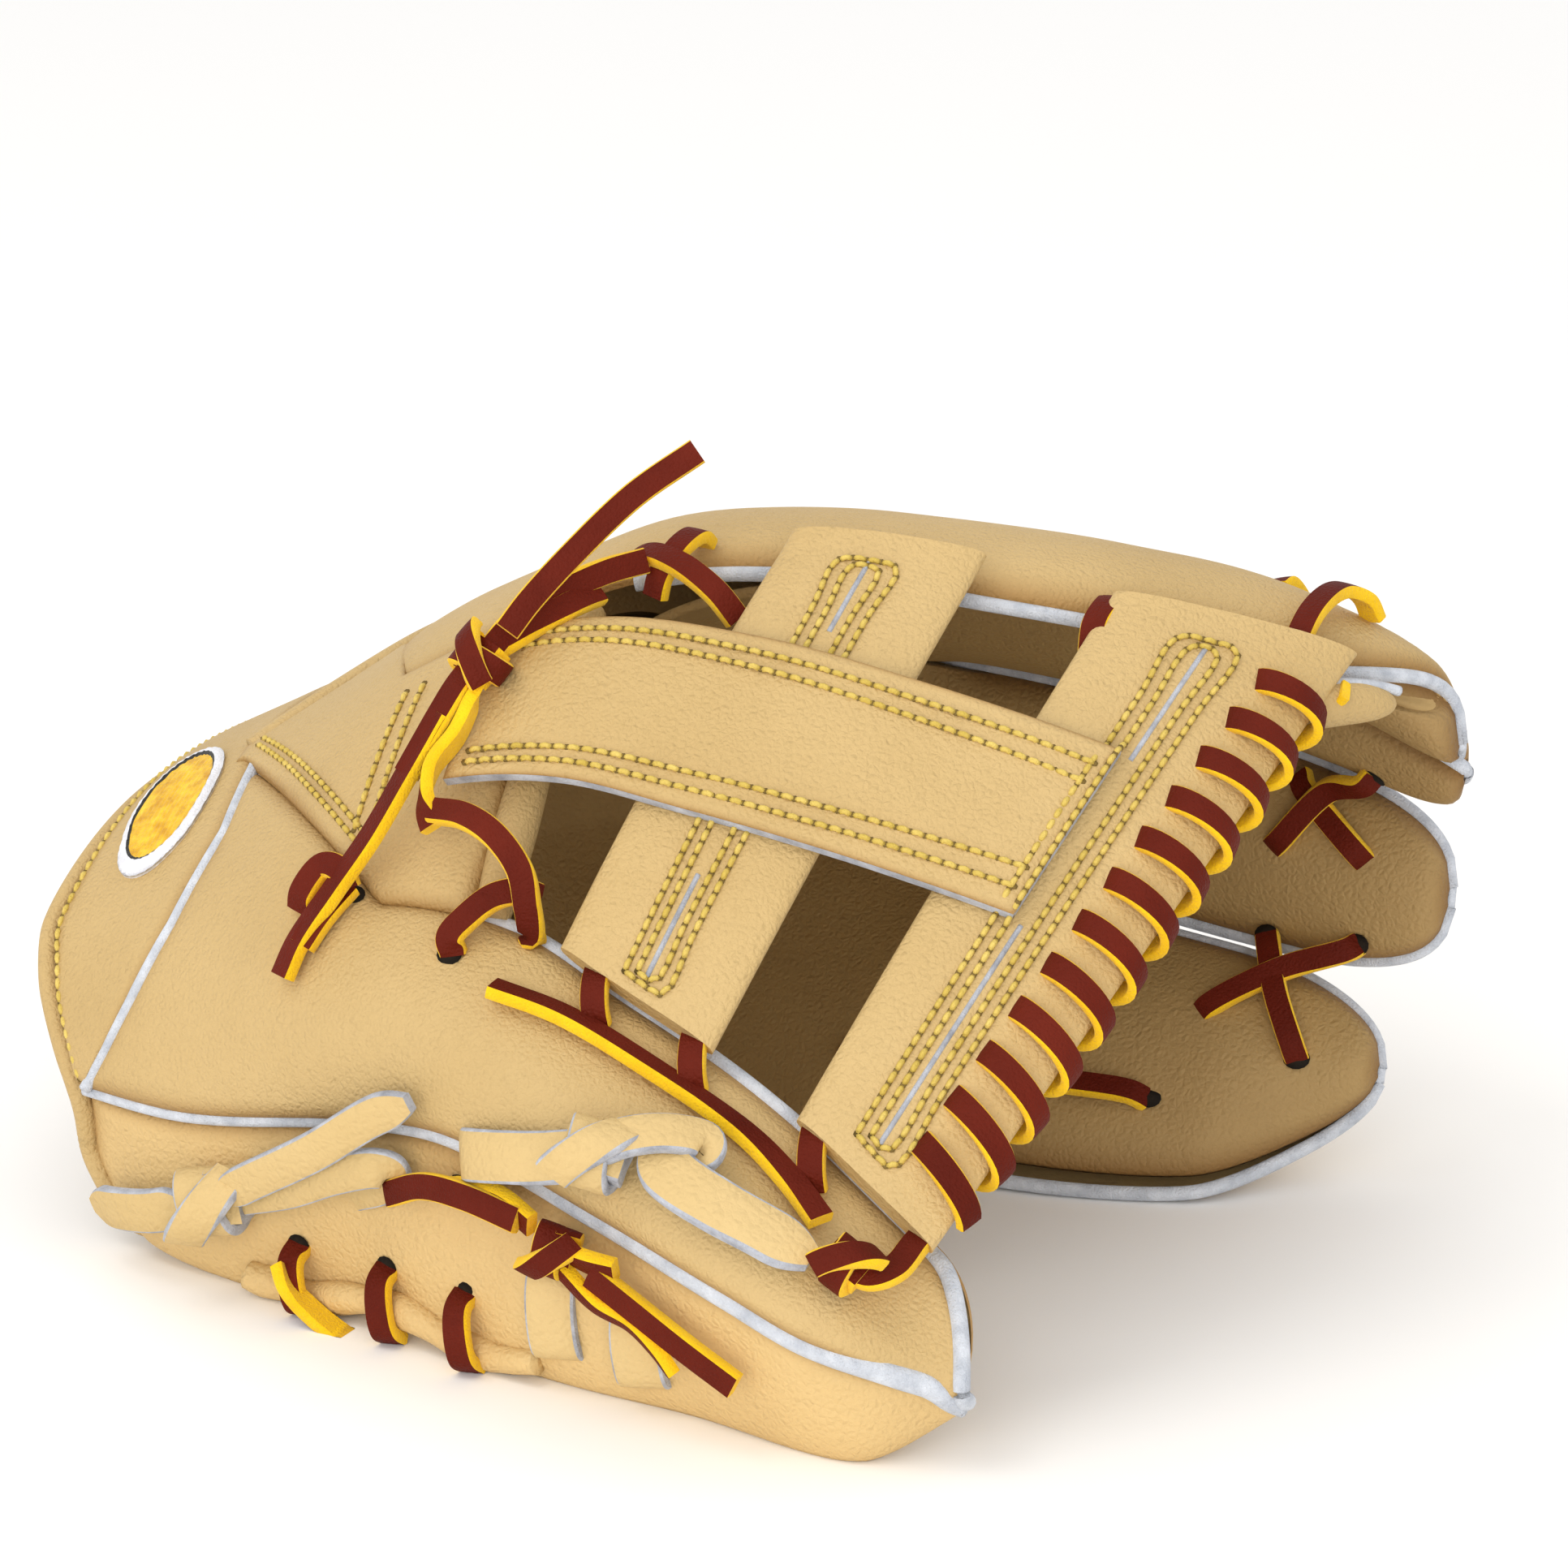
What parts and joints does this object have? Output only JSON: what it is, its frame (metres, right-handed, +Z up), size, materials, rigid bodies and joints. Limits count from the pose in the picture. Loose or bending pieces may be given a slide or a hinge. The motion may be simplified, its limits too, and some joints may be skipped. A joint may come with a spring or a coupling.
{
  "type": "baseball glove",
  "caption": "Left-hand fielder's leather glove with a laced bar-and-post web, an open back and a wrist strap, standing palm down.",
  "frame": {"origin": "middle of the base of the glove as it stands palm down on its thumb and little-finger edges", "axes": "+X from the heel to the fingertips, +Y from the thumb side to the little-finger side, +Z up through the back of the hand"},
  "size_m": [0.266, 0.2133, 0.1603],
  "materials": {
    "shell_leather": "pale tan, fine grain",
    "palm_leather": "pale tan, smooth",
    "web_leather": "pale tan, fine grain, double stitched",
    "welt": "grey raw edge, fuzzy",
    "emblem_thread": "plain embroidered oval",
    "padding_felt": "wool felt",
    "lining_leather": "soft glove leather",
    "stay_board": "stiff board",
    "thong_leather": "raw tan thong",
    "lace_leather": "dark red-brown face, yellow flesh side and edges"
  },
  "bodies": {
    "root": {"crotch_knot": "lace_leather", "crotch_lace": "lace_leather", "crotch_panel": "shell_leather", "crotch_roll": "shell_leather", "crotch_tail_lower": "lace_leather", "crotch_tail_upper": "lace_leather", "index_back": "shell_leather", "index_tip_lace": "lace_leather", "index_welt": "welt", "middle_back": "shell_leather", "middle_ring_lace": "lace_leather", "middle_welt": "welt", "opening_binding": "shell_leather", "palm_centre": "palm_leather", "palm_lining": "lining_leather", "palm_pad": "padding_felt", "strap_emblem": "emblem_thread", "strap_welt": "welt", "web_index_lace": "lace_leather", "wrist_binding": "shell_leather", "wrist_strap": "shell_leather"},
    "thumb_side": {"thumb_back": "shell_leather", "thumb_welt": "welt", "palm_thumb_side": "palm_leather", "thumb_heel_pad": "padding_felt", "thumb_stay": "stay_board", "web_lower_bar": "web_leather", "web_post": "web_leather", "web_top_bar": "web_leather", "web_spiral_lace": "lace_leather", "web_thumb_lace": "lace_leather", "thumb_web_knot": "lace_leather", "thumb_web_tail": "lace_leather", "crotch_thumb_lace": "lace_leather", "crotch_loop": "lace_leather", "heel_lace": "lace_leather", "heel_thong_knot": "thong_leather", "heel_thong_front": "thong_leather", "heel_thong_back": "thong_leather", "thumb_thong": "thong_leather", "thumb_thong_knot": "thong_leather", "slot_thong_1": "thong_leather", "slot_thong_2": "thong_leather", "tie_knot": "lace_leather", "tie_tail_heel": "lace_leather", "tie_tail_tip": "lace_leather", "tie_tail_low": "lace_leather"},
    "pinky_side": {"ring_back": "shell_leather", "ring_welt": "welt", "pinky_back": "shell_leather", "pinky_welt": "welt", "palm_pinky_side": "palm_leather", "pinky_heel_pad": "padding_felt", "pinky_stay": "stay_board", "ring_pinky_lace": "lace_leather", "pinky_palm_lace": "lace_leather"}
  },
  "joints": [
    {"name": "thumb_fold", "type": "hinge", "parent": "root", "child": "thumb_side", "pos_m": [-0.0212, -0.0062, 0.118], "axis": [0.9844, 0.1571, -0.079], "range_deg": [-8, 38], "deforming": ["crotch_panel", "wrist_strap", "strap_welt", "wrist_binding", "palm_centre", "palm_pad", "palm_lining", "crotch_roll", "web_lower_bar", "web_post", "web_top_bar", "web_spiral_lace", "web_thumb_lace", "web_index_lace", "crotch_lace", "crotch_knot", "crotch_tail_lower", "crotch_thumb_lace"]},
    {"name": "pinky_fold", "type": "hinge", "parent": "root", "child": "pinky_side", "pos_m": [-0.1062, 0.0528, 0.0501], "axis": [-0.9909, -0.0713, -0.1138], "range_deg": [0, 12], "deforming": ["opening_binding", "middle_ring_lace"]}
  ]
}
